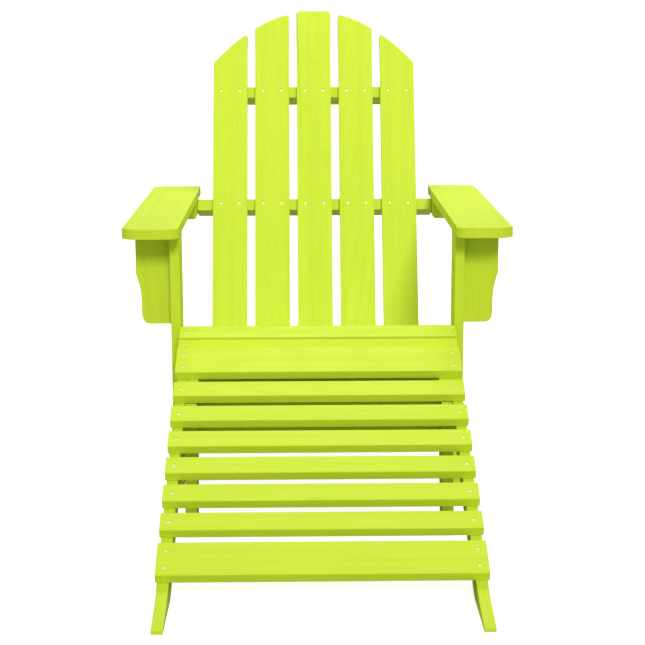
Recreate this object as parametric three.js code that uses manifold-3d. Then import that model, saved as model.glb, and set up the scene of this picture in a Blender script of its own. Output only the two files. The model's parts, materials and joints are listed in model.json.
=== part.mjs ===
// A wooden Adirondack chair and the slatted footrest that belongs to it. Millimetres, +Z up.
// X runs across the chair, the sitter faces -Y, and both pieces stand on the floor at Z = 0.
import * as THREE from 'three';
import { mergeVertices } from 'three/addons/utils/BufferGeometryUtils.js';
import Module from 'manifold-3d';

const wasm = await Module();
wasm.setup();

const DEGREE = Math.PI / 180;
const GAP = 0.3; // clearance left between boards that touch
const SIDES = [['left', -1], ['right', 1]];

// ---------- stock ----------
const slatThickness = 15;
const frameThickness = 18;
const narrowWidth = 41;
const wideWidth = 73;
const boardLength = 515;
const railHeight = 25;
const railDepth = 50;

// ---------- back ----------
const backLean = 22.4 * DEGREE;
const backPivot = { y: 611, z: 500 }; // a point on the front face of the slats
const backSlatCount = 5;
const backSlatWidth = 75.4;
const backSlatPitch = 92.4;
const backSlatFoot = -362; // measured along the slats from the pivot
const backSlatHead = 421.5;
const crownSpan = 410; // the crown falls by x squared over this length
const crownCorner = 9;
const upperRail = { centre: 236.3, halfLength: 216 };
const middleRail = { centre: -22, halfLength: 257 };
const lowerRail = { centre: -332 };

// ---------- seat ----------
const seatSlope = 14 * DEGREE;
const seatTop = { y: 65, z: 313.8 }; // front top edge of the first slat of the sloping part
const seatRearY = 481;
const rearSlatCount = 9;
const rearSlatLength = 511;
const frontSlats = [
  { y: -21.6, z: 272.4, tilt: 42 * DEGREE },
  { y: 15, z: 302.2, tilt: 18.2 * DEGREE },
];

// ---------- chair frame ----------
const armTop = 507;
const armInner = 254;
const armWidth = 103;
const armFrontY = -5;
const armRearY = 690;
const armThickness = 19.5;
const armFrontCut = { outer: { width: 34, length: 18 }, inner: { width: 24, length: 12 } };
const armRearCut = { outer: { width: 16, length: 18 }, inner: { width: 4, length: 4 } };
const legInner = 256.5;
const legFrontY = 59;
const legRearY = 134;
const bracketFrontY = 88;
const bracketReach = 66;
const bracketFoot = 314;
const bracketShoulder = 95; // height of the straight upper part's lower corner above the foot
const bracketWaist = { inset: 9.5, above: 42 }; // where the hollow is deepest
const bracketToe = { width: 15, height: 22 }; // the rounded corner at the foot
const blockWidth = 26;
const blockFoot = 446;
const blockFrontY = 584;
const blockRearY = 656;
const blockChamfer = { width: 3, height: 6 }; // on the lower inner corner
const stringerDepth = 80;
const stringerFrontY = -10;
const stringerNose = { back: 20, rise: 20 }; // the rounded front end, below the first slat
const stringerBend = { behind: 50, under: 10 }; // past and before the last slat, top and bottom edge
const rearFoot = { frontY: 684, backY: 768, heel: { inset: 6, rise: 22 } };
const rearSweep = { top: { y: 110, z: 22 }, bottom: { y: 90, z: 24 } }; // handles of the bent part's edges
const apron = { frontY: 12, top: 262, bottom: 120 };

// ---------- footrest ----------
const rampSlope = 24.34 * DEGREE;
const rampFront = { y: -556.4, z: 50.7 }; // front top edge of the lowest board
const rampGap = 27.4;
const rampBoardThickness = 16.5;
const rampUnder = rampBoardThickness + GAP; // from the boards' top faces to the side members
const rampNarrowCount = 6;
const rampStringerOuter = 254.6;
const rampStringerThickness = 18.5;
const rampStringerDepth = 38;
const noseY = -668.4;
const noseHeight = 7;
const soleLength = 125; // the flat part of the nose that rests on the floor
const rampSole = { turn: 28, end: 95 }; // how the sole curves up into the underside of the ramp
const rampNoseTop = { inset: 4, back: 48, drop: 20 }; // how the top edge curves down to the nose
const rampHeadInset = 10; // from the rear edge of the highest board to the end of the side member
const rampLegThickness = 20;
const rampLegWidth = 60;
const rampLegRake = 15 * DEGREE;
const rampLegTopY = -106;
const rampStretcher = { frontY: -124, top: 222, bottom: 142 };

// ---------- fasteners ----------
const countersink = { top: 4.2, bottom: 2.4, depth: 3, facets: 16 };
const screwInset = 14; // from the end of a cross board
const backScrewOffset = 20; // from the middle of a back slat
const bolt = { shank: 3, hole: 3.3, head: 8, headHeight: 3.5, nut: 6, nutHeight: 5, tail: 3, facets: 16 };
const boltDome = [{ out: 0.86, up: 0.62 }, { out: 0.5, up: 0.95 }]; // as shares of the head's size
const boltPoint = 0.6; // chamfer on the end of the shank
const boltPocket = { radius: 8.6, depth: 4.5 }; // sinks the heads into the chair's front legs
const through = 1; // how far a cutter runs past the face it opens

// ---------- colours ----------
const lime = 0xd6f045;
const zinc = 0xb9bcae;

function wood() {
  return new THREE.MeshStandardMaterial({ color: lime, roughness: 0.55, metalness: 0 });
}

function steel() {
  return new THREE.MeshStandardMaterial({ color: zinc, roughness: 0.35, metalness: 0.9 });
}

function piece(name, geometry, material = wood()) {
  const mesh = new THREE.Mesh(geometry, material);
  mesh.name = name;
  return mesh;
}

// ---------- booleans ----------
function toManifold(geometry) {
  const bare = geometry.clone();
  bare.deleteAttribute('normal');
  bare.deleteAttribute('uv');
  const welded = mergeVertices(bare, 1e-4);
  return new wasm.Manifold(new wasm.Mesh({
    numProp: 3,
    vertProperties: new Float32Array(welded.attributes.position.array),
    triVerts: new Uint32Array(welded.index.array),
  }));
}

function fromManifold(solid) {
  const mesh = solid.getMesh();
  const geometry = new THREE.BufferGeometry();
  geometry.setAttribute('position', new THREE.BufferAttribute(mesh.vertProperties, 3));
  geometry.setIndex(new THREE.BufferAttribute(mesh.triVerts, 1));
  geometry.computeVertexNormals();
  return geometry;
}

function cut(geometry, cutters) {
  let solid = toManifold(geometry);
  for (const cutter of cutters) {
    solid = solid.subtract(toManifold(cutter));
  }
  return fromManifold(solid);
}

// ---------- board shapes ----------
function box(x0, x1, y0, y1, z0, z1) {
  const geometry = new THREE.BoxGeometry(x1 - x0, y1 - y0, z1 - z0);
  return geometry.translate((x0 + x1) / 2, (y0 + y1) / 2, (z0 + z1) / 2);
}

function extrude(shape, depth, curveSegments = 6) {
  return new THREE.ExtrudeGeometry(shape, { depth, bevelEnabled: false, curveSegments });
}

// A board lying on its side: the outline is drawn in Y and Z, and X is its thickness.
function sideBoard(shape, x0, x1, curveSegments) {
  const turn = new THREE.Matrix4().makeBasis(
    new THREE.Vector3(0, 1, 0),
    new THREE.Vector3(0, 0, 1),
    new THREE.Vector3(1, 0, 0),
  );
  return extrude(shape, x1 - x0, curveSegments).applyMatrix4(turn).translate(x0, 0, 0);
}

// A board facing front: the outline is drawn in X and Z, and Y is its thickness.
function frontBoard(shape, y0, y1, curveSegments) {
  const geometry = extrude(shape, y1 - y0, curveSegments).rotateX(90 * DEGREE);
  return geometry.translate(0, y1, 0);
}

// Orders a left and a right face so that x0 is always the smaller one.
function across(sign, inner, outer) {
  return sign < 0 ? [-outer, -inner] : [inner, outer];
}

function onSlope(origin, angle, along, below = 0) {
  return {
    y: origin.y + along * Math.cos(angle) + below * Math.sin(angle),
    z: origin.z + along * Math.sin(angle) - below * Math.cos(angle),
  };
}

// ---------- screw seats ----------
// A countersink cut into the face whose normal is +Z, with its rim at the given point.
function countersinkUp(x, y, z) {
  const over = 0.5;
  const flare = (countersink.top - countersink.bottom) / countersink.depth * over;
  const geometry = new THREE.CylinderGeometry(
    countersink.top + flare, countersink.bottom, countersink.depth + over, countersink.facets,
  );
  return geometry.rotateX(90 * DEGREE).translate(x, y, z + (over - countersink.depth) / 2);
}

// The same, cut into the face whose normal is -Y.
function countersinkFront(x, y, z) {
  return countersinkUp(0, 0, 0).rotateX(90 * DEGREE).translate(x, y, z);
}

// A board across the seat or the footrest, top face at Z = 0, with screws near both ends.
function crossBoard(length, width, thickness = slatThickness) {
  const half = length / 2;
  const rows = width > narrowWidth ? [width / 4, width * 3 / 4] : [width / 2];
  const screws = rows.flatMap((y) => [-1, 1].map((side) => countersinkUp(side * (half - screwInset), y, 0)));
  return cut(box(-half, half, 0, width, -thickness, 0), screws);
}

// ---------- bolts ----------
function boreAcross(radius, y, z, x0, x1) {
  const geometry = new THREE.CylinderGeometry(radius, radius, x1 - x0, bolt.facets);
  return geometry.rotateZ(90 * DEGREE).translate((x0 + x1) / 2, y, z);
}

// One hole for each bolt place, right through a board that lies between X = x0 and X = x1.
function boltHoles(places, x0, x1) {
  return places.map(({ y, z }) => boreAcross(bolt.hole, y, z, x0 - through, x1 + through));
}

// A dome-headed bolt along +X: its head rests on the face at X = 0 and its shank runs to -X.
function boltGeometry(grip) {
  const end = -(grip + bolt.nutHeight + bolt.tail);
  const profile = [
    [0, end],
    [bolt.shank - boltPoint, end],
    [bolt.shank, end + boltPoint],
    [bolt.shank, GAP],
    [bolt.head, GAP],
    ...boltDome.map(({ out, up }) => [bolt.head * out, bolt.headHeight * up]),
    [0, bolt.headHeight],
  ].map(([radius, height]) => new THREE.Vector2(radius, height));
  return new THREE.LatheGeometry(profile, bolt.facets).rotateZ(-90 * DEGREE);
}

// A hexagon nut along X, against the face at X = 0 and standing off to -X.
function nutGeometry() {
  const height = bolt.nutHeight - GAP;
  const body = new THREE.CylinderGeometry(bolt.nut, bolt.nut, height, 6).rotateZ(90 * DEGREE);
  const bore = boreAcross(bolt.hole, 0, 0, -height, height);
  return cut(body, [bore]).translate(-GAP - height / 2, 0, 0);
}

// A bolt with its nut, through boards whose outer face is at X = outer and inner face at X = inner.
function boltPair(name, sign, outer, inner, y, z) {
  const head = piece(name, boltGeometry(outer - inner), steel());
  const nut = piece(name.replace('bolt', 'nut'), nutGeometry(), steel());
  nut.position.x = inner - outer;
  const pair = new THREE.Group();
  pair.add(head, nut);
  pair.position.set(sign * outer, y, z);
  pair.rotation.z = sign < 0 ? Math.PI : 0;
  return pair;
}

// ---------- back ----------
// Height of the crown above the pivot at a distance x from the middle of the back.
function crownHeight(x) {
  return backSlatHead - x * x / crownSpan;
}

// The head of a slat, drawn in X and Z, from its inner corner (nearest the middle) to its outer one.
function backSlatShape(index) {
  const middle = (index - (backSlatCount - 1) / 2) * backSlatPitch;
  const left = middle - backSlatWidth / 2;
  const right = middle + backSlatWidth / 2;
  const flat = middle === 0;
  const leftHead = flat ? backSlatHead : crownHeight(left);
  const rightHead = flat ? backSlatHead : crownHeight(right);
  const shape = new THREE.Shape();
  shape.moveTo(left, backSlatFoot);
  shape.lineTo(right, backSlatFoot);
  if (flat) {
    shape.lineTo(right, rightHead - crownCorner);
    shape.quadraticCurveTo(right, rightHead, right - crownCorner, rightHead);
    shape.lineTo(left + crownCorner, leftHead);
    shape.quadraticCurveTo(left, leftHead, left, leftHead - crownCorner);
  } else if (middle < 0) {
    // Inner corner on the right: round it, then follow the crown down to the left.
    shape.lineTo(right, rightHead - crownCorner);
    shape.quadraticCurveTo(right, crownHeight(right), right - crownCorner, crownHeight(right - crownCorner));
    crownTo(shape, right - crownCorner, left);
  } else {
    shape.lineTo(right, rightHead);
    crownTo(shape, right, left + crownCorner);
    shape.quadraticCurveTo(left, crownHeight(left), left, leftHead - crownCorner);
  }
  shape.closePath();
  return shape;
}

// A parabola is its own quadratic curve: its handle is where the two end tangents meet.
function crownTo(shape, from, to) {
  const slope = -2 * from / crownSpan;
  const handle = (from + to) / 2;
  shape.quadraticCurveTo(handle, crownHeight(from) + slope * (handle - from), to, crownHeight(to));
}

function backSlat(index) {
  const middle = (index - (backSlatCount - 1) / 2) * backSlatPitch;
  const screws = [upperRail, middleRail, lowerRail].flatMap((rail) => [-1, 1].map(
    (side) => countersinkFront(middle + side * backScrewOffset, 0, rail.centre),
  ));
  const blank = frontBoard(backSlatShape(index), 0, slatThickness, 5);
  return piece(`back_slat_${index + 1}`, cut(blank, screws));
}

function backRail(name, centre, halfLength) {
  const front = slatThickness + GAP;
  return piece(name, box(
    -halfLength, halfLength, front, front + railDepth, centre - railHeight / 2, centre + railHeight / 2,
  ));
}

function back() {
  const group = new THREE.Group();
  for (let index = 0; index < backSlatCount; index += 1) {
    group.add(backSlat(index));
  }
  group.add(backRail('back_rail_upper', upperRail.centre, upperRail.halfLength));
  group.add(backRail('back_rail_middle', middleRail.centre, middleRail.halfLength));
  group.add(backRail('back_rail_lower', lowerRail.centre, stringerInner() - GAP));
  group.position.set(0, backPivot.y, backPivot.z);
  group.rotation.x = -backLean;
  return group;
}

// ---------- seat ----------
function seat() {
  const group = new THREE.Group();
  frontSlats.forEach((slat, index) => {
    const mesh = piece(`seat_slat_${index + 1}`, crossBoard(boardLength, narrowWidth));
    mesh.position.set(0, slat.y, slat.z);
    mesh.rotation.x = slat.tilt;
    group.add(mesh);
  });
  const run = (seatRearY - seatTop.y) / Math.cos(seatSlope);
  const pitch = (run - narrowWidth) / (rearSlatCount - 1);
  const slope = new THREE.Group();
  for (let index = 0; index < rearSlatCount; index += 1) {
    const mesh = piece(`seat_slat_${index + 1 + frontSlats.length}`, crossBoard(rearSlatLength, narrowWidth));
    mesh.position.y = index * pitch;
    slope.add(mesh);
  }
  slope.position.set(0, seatTop.y, seatTop.z);
  slope.rotation.x = -seatSlope;
  group.add(slope);
  return group;
}

// ---------- chair frame ----------
function stringerInner() {
  return legInner - GAP - frameThickness;
}

// Where two straight edges meet, each given by a point and an angle in the Y-Z plane.
function meet(a, angleA, b, angleB) {
  const slopeA = Math.tan(angleA);
  const slopeB = Math.tan(angleB);
  const y = (b.z - a.z + slopeA * a.y - slopeB * b.y) / (slopeA - slopeB);
  return { y, z: a.z + slopeA * (y - a.y) };
}

// The side member of the chair: three seats for the slats, then a bend down to the rear foot.
function stringerShape() {
  const under = slatThickness + GAP;
  const [first, second] = frontSlats.map((slat) => onSlope(slat, slat.tilt, 0, under));
  const rear = onSlope(seatTop, -seatSlope, 0, under);
  const nose = { y: stringerFrontY, z: first.z + Math.tan(frontSlats[0].tilt) * (stringerFrontY - first.y) };
  const firstCorner = meet(first, frontSlats[0].tilt, second, frontSlats[1].tilt);
  const crown = meet(second, frontSlats[1].tilt, rear, -seatSlope);
  const seatRun = (seatRearY - seatTop.y) / Math.cos(seatSlope);
  const bend = onSlope(rear, -seatSlope, seatRun + stringerBend.behind);
  const belly = onSlope(rear, -seatSlope, stringerNose.back, stringerDepth);
  const knee = onSlope(rear, -seatSlope, seatRun - stringerBend.under, stringerDepth);
  const heel = { y: rearFoot.backY - rearFoot.heel.inset, z: rearFoot.heel.rise };
  const { top, bottom } = rearSweep;
  const shape = new THREE.Shape();
  shape.moveTo(nose.y, nose.z);
  shape.quadraticCurveTo(nose.y, belly.z + stringerNose.rise, belly.y, belly.z);
  shape.lineTo(knee.y, knee.z);
  shape.quadraticCurveTo(knee.y + bottom.y, knee.z - bottom.z, rearFoot.frontY, 0);
  shape.lineTo(rearFoot.backY, 0);
  shape.lineTo(heel.y, heel.z);
  shape.quadraticCurveTo(bend.y + top.y, bend.z - top.z, bend.y, bend.z);
  shape.lineTo(crown.y, crown.z);
  shape.lineTo(firstCorner.y, firstCorner.z);
  shape.closePath();
  return shape;
}

const legBoltPlaces = [{ y: 80, z: 268 }, { y: 112, z: 228 }];

function stringer(side, sign) {
  const [x0, x1] = across(sign, stringerInner(), legInner - GAP);
  const holes = boltHoles(legBoltPlaces, x0, x1);
  return piece(`stringer_${side}`, cut(sideBoard(stringerShape(), x0, x1, 8), holes));
}

// The outer face of a front leg, and the bottom of the pockets for the bolt heads in it.
const legOuter = legInner + frameThickness;
const legBoltSeat = legOuter - boltPocket.depth;

function frontLeg(side, sign) {
  const [x0, x1] = across(sign, legInner, legOuter);
  const [pocket0, pocket1] = across(sign, legBoltSeat, legOuter + through);
  const pockets = legBoltPlaces.map(({ y, z }) => boreAcross(boltPocket.radius, y, z, pocket0, pocket1));
  const blank = box(x0, x1, legFrontY, legRearY, 0, armTop - armThickness - GAP);
  return piece(`front_leg_${side}`, cut(blank, [...boltHoles(legBoltPlaces, x0, x1), ...pockets]));
}

// One end of the arm, its outer corner and the front's inner corner gently cut back.
// `inward` is the way along Y that leads into the board.
function armEnd(at, y, inward, { outer, inner }) {
  return {
    innerSide: at(0, y + inward * inner.length),
    innerHandle: at(inner.width / 3, y),
    innerEnd: at(inner.width, y),
    outerEnd: at(armWidth - outer.width, y),
    outerHandle: at(armWidth - outer.width / 3, y),
    outerSide: at(armWidth, y + inward * outer.length),
  };
}

function arm(side, sign) {
  const at = (outwards, y) => [sign * (armInner + outwards), y];
  const front = armEnd(at, armFrontY, 1, armFrontCut);
  const rear = armEnd(at, armRearY, -1, armRearCut);
  const shape = new THREE.Shape();
  shape.moveTo(...front.innerSide);
  shape.quadraticCurveTo(...front.innerHandle, ...front.innerEnd);
  shape.lineTo(...front.outerEnd);
  shape.quadraticCurveTo(...front.outerHandle, ...front.outerSide);
  shape.lineTo(...rear.outerSide);
  shape.quadraticCurveTo(...rear.outerHandle, ...rear.outerEnd);
  shape.lineTo(...rear.innerEnd);
  shape.quadraticCurveTo(...rear.innerHandle, ...rear.innerSide);
  shape.closePath();
  return piece(`arm_${side}`, extrude(shape, armThickness).translate(0, 0, armTop - armThickness));
}

// The bracket under the arm: straight at the top, a hollow lower down, a rounded foot.
function armBracket(side, sign) {
  const inner = legOuter + GAP;
  const outer = inner + bracketReach;
  const top = armTop - armThickness - GAP;
  const waist = outer - bracketWaist.inset;
  const toe = bracketFoot + bracketToe.height;
  const shoulder = bracketFoot + bracketShoulder;
  const shape = new THREE.Shape();
  shape.moveTo(sign * inner, bracketFoot);
  shape.lineTo(sign * (waist - bracketToe.width), bracketFoot);
  shape.quadraticCurveTo(sign * waist, bracketFoot, sign * waist, toe);
  shape.lineTo(sign * waist, bracketFoot + bracketWaist.above);
  shape.quadraticCurveTo(sign * waist, (bracketFoot + bracketWaist.above + shoulder) / 2, sign * outer, shoulder);
  shape.lineTo(sign * outer, top);
  shape.lineTo(sign * inner, top);
  shape.closePath();
  return piece(`arm_bracket_${side}`, frontBoard(shape, bracketFrontY, bracketFrontY + frameThickness));
}

// The block that carries the rear of the arm, standing against the end of the middle rail.
function armBlock(side, sign) {
  const inner = middleRail.halfLength + GAP;
  const outer = inner + blockWidth;
  const shape = new THREE.Shape();
  shape.moveTo(sign * (inner + blockChamfer.width), blockFoot);
  shape.lineTo(sign * outer, blockFoot);
  shape.lineTo(sign * outer, armTop - armThickness - GAP);
  shape.lineTo(sign * inner, armTop - armThickness - GAP);
  shape.lineTo(sign * inner, blockFoot + blockChamfer.height);
  shape.closePath();
  return piece(`arm_block_${side}`, frontBoard(shape, blockFrontY, blockRearY));
}

function frontApron() {
  const half = stringerInner() - GAP;
  return piece('front_apron', box(
    -half, half, apron.frontY, apron.frontY + frameThickness, apron.bottom, apron.top,
  ));
}

function chairBolts(side, sign) {
  return legBoltPlaces.map(({ y, z }, index) => (
    boltPair(`leg_bolt_${side}_${index + 1}`, sign, legBoltSeat, stringerInner(), y, z)
  ));
}

function chair() {
  const group = new THREE.Group();
  group.add(back(), seat(), frontApron());
  for (const [side, sign] of SIDES) {
    group.add(stringer(side, sign), frontLeg(side, sign), arm(side, sign));
    group.add(armBracket(side, sign), armBlock(side, sign), ...chairBolts(side, sign));
  }
  return group;
}

// ---------- footrest ----------
function rampRun() {
  return 2 * wideWidth + rampNarrowCount * narrowWidth + (rampNarrowCount + 1) * rampGap;
}

function rampBoards() {
  const names = ['footrest_board_front'];
  for (let index = rampNarrowCount; index > 0; index -= 1) {
    names.push(`footrest_slat_${index}`);
  }
  names.push('footrest_board_rear');
  const group = new THREE.Group();
  let along = 0;
  for (const name of names) {
    const width = name.includes('board') ? wideWidth : narrowWidth;
    const mesh = piece(name, crossBoard(boardLength, width, rampBoardThickness));
    mesh.position.y = along;
    along += width + rampGap;
    group.add(mesh);
  }
  group.position.set(0, rampFront.y, rampFront.z);
  group.rotation.x = rampSlope;
  return group;
}

// The side member of the footrest: a straight ramp that flattens into a nose lying on the floor.
function rampStringerShape() {
  const length = rampRun();
  const top = onSlope(rampFront, rampSlope, rampNoseTop.inset, rampUnder);
  const head = onSlope(rampFront, rampSlope, length - rampHeadInset, rampUnder);
  const heel = { y: head.y, z: head.z - rampStringerDepth / Math.cos(rampSlope) };
  const belly = onSlope(rampFront, rampSlope, rampSole.end, rampUnder + rampStringerDepth);
  const shape = new THREE.Shape();
  shape.moveTo(noseY, 0);
  shape.lineTo(noseY + soleLength, 0);
  shape.quadraticCurveTo(noseY + soleLength + rampSole.turn, 0, belly.y, belly.z);
  shape.lineTo(heel.y, heel.z);
  shape.lineTo(head.y, head.z);
  shape.lineTo(top.y, top.z);
  shape.quadraticCurveTo(top.y - rampNoseTop.back, top.z - rampNoseTop.drop, noseY, noseHeight);
  shape.closePath();
  return shape;
}

// The rear leg of the footrest, raked forward, its head cut flush with the ramp.
function rampLegShape() {
  const line = onSlope(rampFront, rampSlope, 0, rampUnder);
  const headAt = (y) => line.z + Math.tan(rampSlope) * (y - line.y);
  const lean = Math.tan(rampLegRake);
  const half = rampLegWidth / 2 / Math.cos(rampLegRake);
  const head = { y: rampLegTopY, z: headAt(rampLegTopY) };
  const footY = head.y - head.z * lean;
  const front = meet({ y: head.y - half, z: head.z }, Math.atan(1 / lean), line, rampSlope);
  const rear = meet({ y: head.y + half, z: head.z }, Math.atan(1 / lean), line, rampSlope);
  const shape = new THREE.Shape();
  shape.moveTo(footY - half, 0);
  shape.lineTo(footY + half, 0);
  shape.lineTo(rear.y, rear.z);
  shape.lineTo(front.y, front.z);
  shape.closePath();
  return shape;
}

// Bolt places on the side of the ramp, one each side of the stretcher's end.
const rampBoltPlaces = [{ ahead: 29, below: 18 }, { ahead: -11, below: 16 }].map(({ ahead, below }) => {
  const line = onSlope(rampFront, rampSlope, 0, rampUnder);
  const y = rampLegTopY - ahead;
  return { y, z: line.z + Math.tan(rampSlope) * (y - line.y) - below };
});

function rampStringer(side, sign) {
  const [x0, x1] = across(sign, rampStringerOuter - rampStringerThickness, rampStringerOuter);
  const holes = boltHoles(rampBoltPlaces, x0, x1);
  return piece(`footrest_stringer_${side}`, cut(sideBoard(rampStringerShape(), x0, x1, 8), holes));
}

function rampLegInner() {
  return rampStringerOuter - rampStringerThickness - GAP - rampLegThickness;
}

function rampLeg(side, sign) {
  const [x0, x1] = across(sign, rampLegInner(), rampLegInner() + rampLegThickness);
  const holes = boltHoles(rampBoltPlaces, x0, x1);
  return piece(`footrest_leg_${side}`, cut(sideBoard(rampLegShape(), x0, x1), holes));
}

function rampBolts(side, sign) {
  return rampBoltPlaces.map(({ y, z }, index) => (
    boltPair(`footrest_bolt_${side}_${index + 1}`, sign, rampStringerOuter, rampLegInner(), y, z)
  ));
}

function rampStretcherBoard() {
  const half = rampLegInner() - GAP;
  return piece('footrest_stretcher', box(
    -half, half, rampStretcher.frontY, rampStretcher.frontY + frameThickness,
    rampStretcher.bottom, rampStretcher.top,
  ));
}

function footrest() {
  const group = new THREE.Group();
  group.add(rampBoards(), rampStretcherBoard());
  for (const [side, sign] of SIDES) {
    group.add(rampStringer(side, sign), rampLeg(side, sign), ...rampBolts(side, sign));
  }
  return group;
}

// ---------- whole object ----------
// The origin is on the floor, half way between the nose of the footrest and the top of the back.
const backHeadY = backPivot.y + backSlatHead * Math.sin(backLean) + slatThickness * Math.cos(backLean);
const object = new THREE.Group();
object.add(chair(), footrest());
object.position.y = -(noseY + backHeadY) / 2;

export default object;
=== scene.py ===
"""The looks of a lime-green wooden Adirondack chair and its footrest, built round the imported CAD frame.

Lengths are in metres, in the frame's axes: +X across the chair, -Y the way the sitter faces, +Z up.
"""

import json
import math
import random

import bpy
import numpy as np
from mathutils import Euler, Matrix, Vector


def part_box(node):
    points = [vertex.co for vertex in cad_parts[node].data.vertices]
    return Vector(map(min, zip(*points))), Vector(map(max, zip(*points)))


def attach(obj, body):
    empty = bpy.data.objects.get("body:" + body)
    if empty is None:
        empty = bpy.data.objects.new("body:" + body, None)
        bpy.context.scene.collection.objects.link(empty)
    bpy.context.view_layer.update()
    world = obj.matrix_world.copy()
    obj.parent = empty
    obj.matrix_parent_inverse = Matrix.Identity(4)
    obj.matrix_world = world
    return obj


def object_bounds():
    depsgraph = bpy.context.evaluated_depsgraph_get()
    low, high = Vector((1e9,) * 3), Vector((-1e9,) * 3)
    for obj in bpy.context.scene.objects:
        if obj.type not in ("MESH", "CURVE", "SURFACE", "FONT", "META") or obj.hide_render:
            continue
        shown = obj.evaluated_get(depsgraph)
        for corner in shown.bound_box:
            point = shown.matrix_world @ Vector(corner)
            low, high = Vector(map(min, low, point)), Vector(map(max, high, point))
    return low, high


MM = 0.001

# ---------- boards ----------
EDGE_RADIUS = 1.2 * MM
EDGE_SEGMENTS = 3
BEVEL_ABOVE = math.radians(65)  # edges flatter than this, such as countersink rims, stay as cut
SMOOTH_BELOW = math.radians(30)
COPLANAR = math.radians(0.5)
WELD_DISTANCE = 0.01 * MM
FASTENER_EDGE_RADIUS = 0.4 * MM

# ---------- screws ----------
SEAT_FLOOR_ACROSS = 5.2 * MM  # widest a triangle on a countersink's floor can be
SEAT_SPACING = 8 * MM  # floor triangles nearer than this belong to one countersink
FACE_MARGIN = 1 * MM  # a countersink's floor is deeper in the board than this
FLOOR_FACING = 0.999  # least cosine between a countersink's floor and the board's face
HEAD_RADIUS = 3.3 * MM
HEAD_HEIGHT = 1.55 * MM
HEAD_DOME = 0.2 * MM
HEAD_FOOT = 2.25 * MM
CROSS_LENGTH = 1.7 * MM
CROSS_HALF_WIDTH = 0.42 * MM
CROSS_DEPTH = 1.3 * MM
CROSS_TAPER = 0.7  # this share of the way down, the recess is this share as wide
SCREW_LIFT = 0.05 * MM  # from the floor of a countersink up to the foot of its screw head
SCREW_TURN_SEED = 7

# ---------- paint ----------
LIME = (0.562, 0.712, 0.031, 1)
LIME_GRAIN = (0.512, 0.668, 0.024, 1)
LIME_PALE = (0.590, 0.732, 0.036, 1)
KNOT = (0.40, 0.50, 0.02, 1)
# the edge tone below is paler than LIME: partly thinner paint on sharp edges, partly a painted highlight
# where the rounded edges catch the light
EDGE_WEAR_AND_HIGHLIGHT_TONE = (0.590, 0.730, 0.050, 1)
PAINT_SPECULAR = 0.13
PAINT_BUMP = 0.55
PAINT_RELIEF = 0.5 * MM
EDGE_WEAR_AND_HIGHLIGHT = 0.5  # how far a sharp edge goes over to the paler edge tone: thinner paint there, and partly a painted highlight
EDGE_REACH = 2 * EDGE_RADIUS
EDGE_SAMPLES = 4
EDGE_RAMP = ((0.86, 1), (0.995, 0))  # by how well the true and the rounded normal agree

# ---------- grain ----------
# Features per metre along a board, across it and through it.
WAVER_SCALE = (2.2, 9, 9)
KNOT_SCALE = (4.5, 11, 11)
FIBRE_SCALE = (14, 520, 520)
BRUSH_SCALE = (9, 150, 150)
BAND_SCALE = (1.1, 62, 62)
CLOUD_SCALE = (3, 12, 12)

RING_PITCH = 5.2 * MM
RING_DRIFT = 22 * MM  # how far the rings stray over the whole range of the noise
PITH_TILT = 0.035  # the grain runs out of a board's face at this slope
KNOT_CELLS_ABOVE = 0.72  # a cell has a knot if its random red is over this

# Ramps, as (input, output) stops.
RING_PROFILE = ((0, 0.1), (0.35, 0), (0.82, 0.7), (0.93, 1), (1, 0.1))  # pale earlywood to dark latewood
KNOT_PROFILE = ((0, 1), (0.035, 0.85), (0.06, 0.25), (0.1, 0))  # by distance from the knot's middle
CLOUD_RAMP = ((0.3, 0), (0.7, 1))
BAND_RAMP = ((0.42, 0), (0.68, 1))
FIBRE_RAMP = ((0.52, 0), (0.72, 1))
RINGS_BY_BRUSH = ((0.35, 0.08), (0.65, 0.42))  # the rings show most where the paint is thin

# How strongly each part of the pattern shows, in the colour, the roughness and the relief.
BAND_TONE = 0.55
FIBRE_TONE = 0.35
KNOT_TONE = 0.7
ROUGHNESS = 0.42
BRUSH_ROUGHNESS = 0.16
RING_ROUGHNESS = 0.06
FIBRE_HEIGHT = 0.30
BRUSH_HEIGHT = 0.25
RING_HEIGHT = 0.22
KNOT_HEIGHT = 0.4

# Where a board was cut from its log: how far along it, across it, and up from the start of its pith.
CUT_ALONG = (0, 9)
CUT_ACROSS = (-0.03, 0.03)
CUT_UP = (-0.32, -0.02)

# ---------- screws' and bolts' steel ----------
ZINC_DULL = (0.60, 0.68, 0.28, 1)  # yellow-passivated zinc with overspray of the paint
ZINC_BRIGHT = (0.84, 0.90, 0.52, 1)
ZINC_METALLIC = 0.3
ZINC_ROUGHNESS = 0.34
MOTTLE_ROUGHNESS = 0.22
MOTTLE_SCALE = (420, 420, 420)  # features per metre, on each axis
MARK_SCALE = (2600, 2600, 2600)
ZINC_BUMP = 0.25
ZINC_RELIEF = 0.05 * MM

# ---------- studio ----------
FLOOR_SIZE = 60
FLOOR_TONE = (0.46, 0.46, 0.46, 1)  # what the floor throws back at the chair
FLOOR_SEEN = (0.80, 0.80, 0.80, 1)  # what the camera sees: a sweep lit from its own lamps
FLOOR_GLOW = 0.75
TOP_LIGHT_AT = Vector((0.10, 0.90, 2.30))
TOP_LIGHT_SIZE = 1.3
TOP_LIGHT_POWER = 25
KEY_STRENGTH = 1.70
KEY_ELEVATION = math.radians(30)
KEY_TURN = math.radians(8)  # the key stands towards the sitter's left, the viewer's right
KEY_SOFTNESS = math.radians(14)
AMBIENT = 0.55
BACKDROP = 1.0

# ---------- camera ----------
LENS = 89.5
SENSOR_WIDTH = 36  # in millimetres, as is LENS
EYE_ACROSS = -0.030
EYE_AHEAD = 2.883  # in front of the arms' front ends
EYE_HEIGHT = 0.910
PITCH = math.radians(11.31)
YAW = math.radians(0.76)
ROLL = math.radians(0.18)


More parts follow.
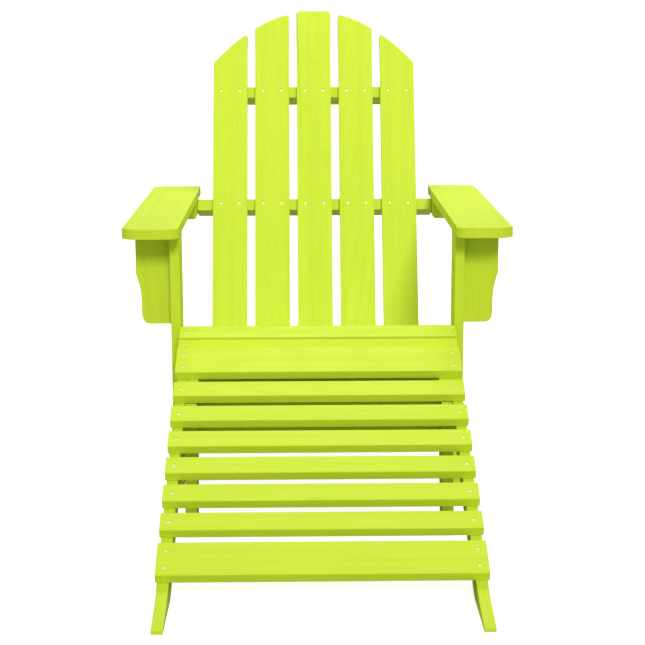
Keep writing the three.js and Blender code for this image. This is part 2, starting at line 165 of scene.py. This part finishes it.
# ---------- node helpers ----------
class Nodes:
    """Short names for adding and joining nodes in one tree."""

    def __init__(self, tree):
        self.tree = tree

    def add(self, kind, **settings):
        node = self.tree.nodes.new(kind)
        for name, value in settings.items():
            setattr(node, name, value)
        return node

    def join(self, source, target):
        self.tree.links.new(source, target)

    def feed(self, socket, value):
        """Joins value to socket if it is a socket, or stores it there."""
        if isinstance(value, bpy.types.NodeSocket):
            self.join(value, socket)
        else:
            socket.default_value = value

    def math(self, operation, *values):
        """The result of one sum on sockets or numbers."""
        node = self.add("ShaderNodeMath", operation=operation)
        for socket, value in zip(node.inputs, values):
            self.feed(socket, value)
        return node.outputs[0]

    def stretch(self, vector, scale):
        """The vector times scale, axis by axis."""
        node = self.add("ShaderNodeVectorMath", operation="MULTIPLY")
        self.feed(node.inputs[0], vector)
        node.inputs[1].default_value = scale
        return node.outputs[0]

    def noise(self, vector, scale, detail=2, roughness=0.5):
        """A noise of about one feature per 1/scale metres, given for each axis."""
        node = self.add("ShaderNodeTexNoise")
        self.join(self.stretch(vector, scale), node.inputs["Vector"])
        node.inputs["Scale"].default_value = 1
        node.inputs["Detail"].default_value = detail
        node.inputs["Roughness"].default_value = roughness
        return node.outputs["Fac"]

    def ramp(self, factor, stops):
        """A smooth curve through the stops, which are (input, output) pairs in order."""
        node = self.add("ShaderNodeValToRGB")
        node.color_ramp.interpolation = "EASE"
        elements = node.color_ramp.elements
        while len(elements) < len(stops):
            elements.new(0.5)  # anywhere: the loop below moves it to its place
        for element, (position, value) in zip(elements, stops):
            element.position = position
            element.color = (value, value, value, 1)
        self.join(factor, node.inputs[0])
        return node.outputs[0]

    def mix(self, factor, low, high):
        """The colour low where factor is 0 and high where it is 1."""
        node = self.add("ShaderNodeMix", data_type="RGBA")
        colours = [socket for socket in node.inputs if socket.type == "RGBA"]
        self.feed(node.inputs["Factor"], factor)
        self.feed(colours[0], low)
        self.feed(colours[1], high)
        return next(socket for socket in node.outputs if socket.type == "RGBA")


def new_group(name, inputs, outputs):
    """An empty shader node group; inputs and outputs are (name, socket type) pairs."""
    group = bpy.data.node_groups.new(name, "ShaderNodeTree")
    for label, kind in inputs:
        group.interface.new_socket(label, in_out="INPUT", socket_type=kind)
    for label, kind in outputs:
        group.interface.new_socket(label, in_out="OUTPUT", socket_type=kind)
    return group


def new_material(name):
    """A material, the helper for its nodes and its shader."""
    material = bpy.data.materials.new(name)
    material.use_nodes = True
    return material, Nodes(material.node_tree), material.node_tree.nodes["Principled BSDF"]


def emboss(n, shader, height, strength, depth):
    """Gives the shader a relief, in which a height of 1 stands for depth."""
    bump = n.add("ShaderNodeBump")
    bump.inputs["Strength"].default_value = strength
    bump.inputs["Distance"].default_value = depth
    n.join(height, bump.inputs["Height"])
    n.join(bump.outputs["Normal"], shader.inputs["Normal"])


def cover(piece, material):
    """Makes material the only one of the piece."""
    piece.data.materials.clear()
    piece.data.materials.append(material)


# ---------- painted wood ----------
def growth_rings(n, place):
    """Latewood lines of a flat-sawn board: thin arcs round a pith that lies beside the board."""
    waver = n.noise(place, WAVER_SCALE)
    drift = n.math("MULTIPLY", n.math("SUBTRACT", waver, 0.5), RING_DRIFT)
    split = n.add("ShaderNodeSeparateXYZ")
    n.join(place, split.inputs[0])
    across = n.math("ADD", split.outputs["Y"], drift)
    depth = n.math("ADD", split.outputs["Z"], n.math("MULTIPLY", split.outputs["X"], PITH_TILT))
    radius = n.math("SQRT", n.math("ADD", n.math("POWER", across, 2), n.math("POWER", depth, 2)))
    count = n.math("FRACT", n.math("DIVIDE", n.math("ADD", radius, drift), RING_PITCH))
    return n.ramp(count, RING_PROFILE)


def knots(n, place):
    """A few small oval knots, long along the grain."""
    cells = n.add("ShaderNodeTexVoronoi")
    n.join(n.stretch(place, KNOT_SCALE), cells.inputs["Vector"])
    cells.inputs["Scale"].default_value = 1
    split = n.add("ShaderNodeSeparateColor")
    n.join(cells.outputs["Color"], split.inputs[0])
    chosen = n.math("GREATER_THAN", split.outputs["Red"], KNOT_CELLS_ABOVE)
    spot = n.ramp(cells.outputs["Distance"], KNOT_PROFILE)
    return n.math("MULTIPLY", spot, chosen)


def wood_pattern():
    """The paint's colour, roughness and relief as a function of the place in a board, grain along X."""
    group = new_group(
        "painted_grain",
        [("Place", "NodeSocketVector")],
        [("Color", "NodeSocketColor"), ("Roughness", "NodeSocketFloat"), ("Height", "NodeSocketFloat")],
    )
    n = Nodes(group)
    place = n.add("NodeGroupInput").outputs["Place"]
    result = n.add("NodeGroupOutput")
    rings = growth_rings(n, place)
    spots = knots(n, place)
    fibre = n.noise(place, FIBRE_SCALE, detail=4, roughness=0.6)
    brush = n.noise(place, BRUSH_SCALE, detail=3)
    bands = n.noise(place, BAND_SCALE, detail=3)
    cloud = n.noise(place, CLOUD_SCALE, detail=3)

    tone = n.mix(n.ramp(cloud, CLOUD_RAMP), LIME, LIME_PALE)
    tone = n.mix(n.math("MULTIPLY", n.ramp(bands, BAND_RAMP), BAND_TONE), tone, LIME_GRAIN)
    tone = n.mix(n.math("MULTIPLY", rings, n.ramp(brush, RINGS_BY_BRUSH)), tone, LIME_GRAIN)
    tone = n.mix(n.math("MULTIPLY", n.ramp(fibre, FIBRE_RAMP), FIBRE_TONE), tone, LIME_GRAIN)
    tone = n.mix(n.math("MULTIPLY", spots, KNOT_TONE), tone, KNOT)
    n.join(tone, result.inputs["Color"])

    extra = n.math("MULTIPLY", brush, BRUSH_ROUGHNESS)
    extra = n.math("ADD", extra, n.math("MULTIPLY", rings, RING_ROUGHNESS))
    n.join(n.math("ADD", extra, ROUGHNESS), result.inputs["Roughness"])

    relief = n.math("MULTIPLY", fibre, FIBRE_HEIGHT)
    relief = n.math("ADD", relief, n.math("MULTIPLY", brush, BRUSH_HEIGHT))
    relief = n.math("SUBTRACT", relief, n.math("MULTIPLY", rings, RING_HEIGHT))
    relief = n.math("SUBTRACT", relief, n.math("MULTIPLY", spots, KNOT_HEIGHT))
    n.join(relief, result.inputs["Height"])
    return group


def worn_and_highlit_edge(n):
    """How near the surface is to a sharp edge, from 0 to 1: where the paler edge tone of thin paint and
    painted highlight goes.
    """
    rounded = n.add("ShaderNodeBevel", samples=EDGE_SAMPLES)
    rounded.inputs["Radius"].default_value = EDGE_REACH
    geometry = n.add("ShaderNodeNewGeometry")
    agreement = n.add("ShaderNodeVectorMath", operation="DOT_PRODUCT")
    n.join(rounded.outputs["Normal"], agreement.inputs[0])
    n.join(geometry.outputs["Normal"], agreement.inputs[1])
    return n.ramp(agreement.outputs["Value"], EDGE_RAMP)


def board_axes(mesh):
    """Unit vectors along a board's length, width and thickness, as the columns of a rotation."""
    corners = np.array([vertex.co for vertex in mesh.vertices])
    _, _, rows = np.linalg.svd(corners - corners.mean(axis=0), full_matrices=False)
    length, width = Vector(rows[0]), Vector(rows[1])
    return Matrix((length, width, length.cross(width))).transposed()


def place_in_log(n, board, seed):
    """The place in the log that a point of the board was cut from, with its length along X."""
    draw = random.Random(seed)
    place = n.add("ShaderNodeMapping", vector_type="POINT")
    n.join(n.add("ShaderNodeTexCoord").outputs["Object"], place.inputs["Vector"])
    place.inputs["Rotation"].default_value = board_axes(board.data).transposed().to_euler("XYZ")
    cut = [draw.uniform(*reach) for reach in (CUT_ALONG, CUT_ACROSS, CUT_UP)]
    place.inputs["Location"].default_value = cut
    return place.outputs["Vector"]


def paint_board(board, pattern, seed):
    """Gives a CAD board its own stretch of grain, along its length."""
    material, n, shader = new_material(f"paint_{board.name}")
    grain = n.add("ShaderNodeGroup", node_tree=pattern)
    n.join(place_in_log(n, board, seed), grain.inputs["Place"])
    # sharp edges go over to a paler tone: partly thinner paint, partly a painted highlight of the rounded
    # edge
    worn_and_highlit = n.math("MULTIPLY", worn_and_highlit_edge(n), EDGE_WEAR_AND_HIGHLIGHT)
    n.join(n.mix(worn_and_highlit, grain.outputs["Color"], EDGE_WEAR_AND_HIGHLIGHT_TONE), shader.inputs["Base Color"])
    n.join(grain.outputs["Roughness"], shader.inputs["Roughness"])
    emboss(n, shader, grain.outputs["Height"], PAINT_BUMP, PAINT_RELIEF)
    shader.inputs["Specular IOR Level"].default_value = PAINT_SPECULAR
    cover(board, material)


# ---------- zinc ----------
def zinc(name):
    """Zinc-plated steel: pale, faintly mottled, with fine marks."""
    material, n, shader = new_material(name)
    place = n.add("ShaderNodeTexCoord").outputs["Object"]
    mottle = n.noise(place, MOTTLE_SCALE, detail=3)
    marks = n.noise(place, MARK_SCALE)
    n.join(n.mix(mottle, ZINC_DULL, ZINC_BRIGHT), shader.inputs["Base Color"])
    roughness = n.math("ADD", n.math("MULTIPLY", mottle, MOTTLE_ROUGHNESS), ZINC_ROUGHNESS)
    n.join(roughness, shader.inputs["Roughness"])
    shader.inputs["Metallic"].default_value = ZINC_METALLIC
    emboss(n, shader, marks, ZINC_BUMP, ZINC_RELIEF)
    return material


# ---------- board edges ----------
def smooth_by_angle():
    """A modifier group that shades smooth across edges flatter than SMOOTH_BELOW."""
    group = bpy.data.node_groups.new("smooth_by_angle", "GeometryNodeTree")
    group.interface.new_socket("Geometry", in_out="INPUT", socket_type="NodeSocketGeometry")
    group.interface.new_socket("Geometry", in_out="OUTPUT", socket_type="NodeSocketGeometry")
    n = Nodes(group)
    source = n.add("NodeGroupInput")
    result = n.add("NodeGroupOutput")
    bare = n.add("GeometryNodeRemoveAttribute")
    bare.inputs["Name"].default_value = "custom_normal"
    faces = n.add("GeometryNodeSetShadeSmooth", domain="FACE")
    edges = n.add("GeometryNodeSetShadeSmooth", domain="EDGE")
    edges.inputs["Shade Smooth"].default_value = False
    sharp = n.add("FunctionNodeCompare", data_type="FLOAT", operation="GREATER_THAN")
    sharp.inputs[1].default_value = SMOOTH_BELOW
    n.join(n.add("GeometryNodeInputMeshEdgeAngle").outputs["Unsigned Angle"], sharp.inputs[0])
    n.join(sharp.outputs[0], edges.inputs["Selection"])
    n.join(source.outputs[0], bare.inputs[0])
    n.join(bare.outputs[0], faces.inputs[0])
    n.join(faces.outputs[0], edges.inputs[0])
    n.join(edges.outputs[0], result.inputs[0])
    return group


def ease_edges(board, shading, radius=EDGE_RADIUS):
    """Rounds the long edges and corners of a board, as sanding before painting does."""
    weld = board.modifiers.new("weld", "WELD")
    weld.merge_threshold = WELD_DISTANCE
    flatten = board.modifiers.new("flatten", "DECIMATE")
    flatten.decimate_type = "DISSOLVE"
    flatten.angle_limit = COPLANAR
    ease = board.modifiers.new("ease", "BEVEL")
    ease.width = radius
    ease.segments = EDGE_SEGMENTS
    ease.limit_method = "ANGLE"
    ease.angle_limit = BEVEL_ABOVE
    ease.use_clamp_overlap = False
    shade = board.modifiers.new("shade", "NODES")
    shade.node_group = shading
    weigh = board.modifiers.new("weigh", "WEIGHTED_NORMAL")
    weigh.keep_sharp = True


# ---------- screws ----------
def screw_seats(board):
    """(centre, outward direction) of the flat floor of every countersink in a CAD board."""
    mesh = board.data
    facing = max(mesh.polygons, key=lambda polygon: polygon.area).normal
    levels = [vertex.co.dot(facing) for vertex in mesh.vertices]
    inside = (min(levels) + FACE_MARGIN, max(levels) - FACE_MARGIN)
    seats = []
    for polygon in mesh.polygons:
        corners = [mesh.vertices[index].co for index in polygon.vertices]
        across = max((a - b).length for a in corners for b in corners)
        level = polygon.center.dot(facing)
        if not inside[0] < level < inside[1]:
            continue
        if across > SEAT_FLOOR_ACROSS or abs(polygon.normal.dot(facing)) < FLOOR_FACING:
            continue
        for seat in seats:
            if (seat["corners"][0] - corners[0]).length < SEAT_SPACING:
                seat["corners"] += corners
                break
        else:
            seats.append({"corners": corners, "out": polygon.normal.copy()})
    return [(middle_of(seat["corners"]), seat["out"]) for seat in seats]


def middle_of(points):
    """The centre of the box that holds the points, which repeats and order don't move."""
    low = Vector(min(point[axis] for point in points) for axis in range(3))
    high = Vector(max(point[axis] for point in points) for axis in range(3))
    return (low + high) / 2


def cross_radius(angle):
    """Distance from the middle to the edge of a cross recess in that direction."""
    off = (angle + math.pi / 4) % (math.pi / 2) - math.pi / 4
    end = CROSS_LENGTH / math.cos(off)
    side = CROSS_HALF_WIDTH / abs(math.sin(off)) if off else end
    return min(end, side)


def head_angles():
    """Directions round a screw head that meet every corner of its cross recess."""
    corner = math.atan2(CROSS_HALF_WIDTH, CROSS_LENGTH)
    diagonal = math.pi / 4
    steps = (0, corner, (corner + diagonal) / 2, diagonal)
    mirrored = [math.pi / 2 - step for step in reversed(steps[1:-1])]
    return [turn * math.pi / 2 + step for turn in range(4) for step in (*steps, *mirrored)]


def screw_head():
    """Vertices and faces of a countersunk screw head with a cross recess, its foot at Z = 0."""
    angles = head_angles()
    rim = [
        (HEAD_FOOT, 0),
        (HEAD_RADIUS, HEAD_HEIGHT - 2 * HEAD_DOME),
        (HEAD_RADIUS - HEAD_DOME, HEAD_HEIGHT - HEAD_DOME),
        ((HEAD_RADIUS + CROSS_LENGTH) / 2, HEAD_HEIGHT - HEAD_DOME / 4),
    ]
    rows = [[(radius, height)] * len(angles) for radius, height in rim]
    rows.append([(cross_radius(angle), HEAD_HEIGHT) for angle in angles])
    taper_height = HEAD_HEIGHT - CROSS_DEPTH * CROSS_TAPER
    rows.append([(cross_radius(angle) * CROSS_TAPER, taper_height) for angle in angles])
    vertices = [
        Vector((radius * math.cos(angle), radius * math.sin(angle), height))
        for row in rows
        for (radius, height), angle in zip(row, angles)
    ]
    count = len(angles)
    last = (len(rows) - 1) * count
    faces = []
    for low in range(0, last, count):
        high = low + count
        for i in range(count):
            after = (i + 1) % count
            faces.append((low + i, low + after, high + after, high + i))
    foot = len(vertices)
    tip = foot + 1
    vertices += [Vector((0, 0, 0)), Vector((0, 0, HEAD_HEIGHT - CROSS_DEPTH))]
    for i in range(count):
        after = (i + 1) % count
        faces.append((foot, after, i))
        faces.append((tip, last + i, last + after))
    return vertices, faces


def screws(name, boards, body, material, rng):
    """One piece holding a screw head for every countersink of the boards."""
    head, head_faces = screw_head()
    vertices = []
    faces = []
    for board in boards:
        for centre, out in screw_seats(board):
            spin = Matrix.Rotation(rng.uniform(0, math.pi), 3, "Z")
            turn = out.to_track_quat("Z", "Y").to_matrix() @ spin
            first = len(vertices)
            vertices += [turn @ point + centre + out * SCREW_LIFT for point in head]
            faces += [tuple(first + index for index in face) for face in head_faces]
    mesh = bpy.data.meshes.new(name)
    mesh.from_pydata(vertices, [], faces)
    mesh.materials.append(material)
    piece = bpy.data.objects.new(name, mesh)
    bpy.context.collection.objects.link(piece)
    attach(piece, body)


# ---------- studio ----------
def for_camera(n, others, seen):
    """A shader that is `seen` straight from the camera and `others` in light, shadow and reflection."""
    choose = n.add("ShaderNodeMixShader")
    n.join(n.add("ShaderNodeLightPath").outputs["Is Camera Ray"], choose.inputs[0])
    n.join(others, choose.inputs[1])
    n.join(seen, choose.inputs[2])
    return choose.outputs[0]


def diffuse(n, tone):
    """A matt shader of one tone."""
    node = n.add("ShaderNodeBsdfDiffuse")
    node.inputs["Color"].default_value = tone
    return node.outputs[0]


def add_floor():
    """A pale studio floor, kept from throwing so much light up that the undersides go flat."""
    mesh = bpy.data.meshes.new("floor")
    half = FLOOR_SIZE / 2
    corners = [(-half, -half, 0), (half, -half, 0), (half, half, 0), (-half, half, 0)]
    mesh.from_pydata(corners, [], [(0, 1, 2, 3)])
    material = bpy.data.materials.new("studio_floor")
    material.use_nodes = True
    material.node_tree.nodes.clear()
    n = Nodes(material.node_tree)
    glow = n.add("ShaderNodeEmission")
    glow.inputs["Strength"].default_value = FLOOR_GLOW
    bright = n.add("ShaderNodeAddShader")
    n.join(diffuse(n, FLOOR_SEEN), bright.inputs[0])
    n.join(glow.outputs[0], bright.inputs[1])
    surface = for_camera(n, diffuse(n, FLOOR_TONE), bright.outputs[0])
    n.join(surface, n.add("ShaderNodeOutputMaterial").inputs["Surface"])
    mesh.materials.append(material)
    floor = bpy.data.objects.new("floor", mesh)
    bpy.context.collection.objects.link(floor)


def add_key():
    """The front light: it draws the arms' shadows on the brackets below them."""
    lamp = bpy.data.lights.new("key", "SUN")
    lamp.energy = KEY_STRENGTH
    lamp.angle = KEY_SOFTNESS
    key = bpy.data.objects.new("key", lamp)
    key.rotation_euler = Euler((math.pi / 2 - KEY_ELEVATION, 0, KEY_TURN))
    bpy.context.collection.objects.link(key)


def add_top_light(low, high):
    """A soft box above and behind the chair, aimed at the middle of the box from low to high."""
    lamp = bpy.data.lights.new("top", "AREA")
    lamp.size = TOP_LIGHT_SIZE
    lamp.energy = TOP_LIGHT_POWER
    top = bpy.data.objects.new("top", lamp)
    top.location = TOP_LIGHT_AT
    middle = (Vector(low) + Vector(high)) / 2
    top.rotation_euler = (TOP_LIGHT_AT - middle).to_track_quat("Z", "Y").to_euler()
    bpy.context.collection.objects.link(top)


def background(n, strength):
    """Even white light from all round."""
    node = n.add("ShaderNodeBackground")
    node.inputs["Color"].default_value = (1, 1, 1, 1)
    node.inputs["Strength"].default_value = strength
    return node.outputs[0]


def add_room():
    """Even white surroundings, softer in the light they give than in how they look."""
    world = bpy.data.worlds.new("room")
    bpy.context.scene.world = world
    world.use_nodes = True
    world.node_tree.nodes.clear()
    n = Nodes(world.node_tree)
    surface = for_camera(n, background(n, AMBIENT), background(n, BACKDROP))
    n.join(surface, n.add("ShaderNodeOutputWorld").inputs["Surface"])


def add_camera():
    """The photograph's own view, in front of the chair and a little to the sitter's right."""
    lens = bpy.data.cameras.new("camera")
    lens.lens = LENS
    lens.sensor_width = SENSOR_WIDTH
    camera = bpy.data.objects.new("camera", lens)
    aim = Euler((math.pi / 2 - PITCH, 0, -YAW)).to_matrix().to_4x4()
    arm_low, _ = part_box("arm_left")
    eye = Vector((EYE_ACROSS, arm_low[1] - EYE_AHEAD, EYE_HEIGHT))
    camera.matrix_world = Matrix.Translation(eye) @ aim @ Matrix.Rotation(-ROLL, 4, "Z")
    bpy.context.collection.objects.link(camera)
    bpy.context.scene.camera = camera
    bpy.context.scene.view_settings.view_transform = "Standard"


# ---------- the object ----------
def dress_boards(boards, shading):
    """Eased edges and painted grain on every wooden CAD node."""
    pattern = wood_pattern()
    for seed, board in enumerate(boards):
        ease_edges(board, shading)
        paint_board(board, pattern, seed)


def dress_fasteners(fasteners, shading, material):
    """Eased edges and plating on every bolt and nut of the CAD."""
    for fastener in fasteners:
        ease_edges(fastener, shading, radius=FASTENER_EDGE_RADIUS)
        cover(fastener, material)


def add_screws(boards, material):
    """The screw heads of the back, the seat and the footrest, each set as one piece."""
    rng = random.Random(SCREW_TURN_SEED)
    for name, body, starts in (
        ("back_screws", "chair", "back_slat"),
        ("seat_screws", "chair", "seat_slat"),
        ("footrest_screws", "footrest", ("footrest_slat", "footrest_board")),
    ):
        held = [board for board in boards if board.name.startswith(starts)]
        screws(name, held, body, material, rng)


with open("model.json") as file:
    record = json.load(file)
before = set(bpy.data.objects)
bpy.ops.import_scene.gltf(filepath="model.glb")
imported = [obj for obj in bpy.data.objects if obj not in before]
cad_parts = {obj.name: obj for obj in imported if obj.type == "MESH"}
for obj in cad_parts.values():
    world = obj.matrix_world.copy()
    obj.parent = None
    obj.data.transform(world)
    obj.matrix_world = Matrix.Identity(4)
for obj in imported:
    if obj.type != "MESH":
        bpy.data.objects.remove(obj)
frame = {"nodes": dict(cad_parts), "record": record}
cad_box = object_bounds()
slots = {part["node"]: part["material_slot"] for part in frame["record"]["subparts"]}
wooden = [node for name, node in sorted(frame["nodes"].items()) if slots[name] == "painted_wood"]
metal = [node for name, node in sorted(frame["nodes"].items()) if slots[name] == "fastener"]
plated = zinc("zinc")
by_angle = smooth_by_angle()

dress_boards(wooden, by_angle)
dress_fasteners(metal, by_angle, plated)
add_screws(wooden, plated)

add_floor()
add_room()
add_key()
add_top_light(*cad_box)
add_camera()
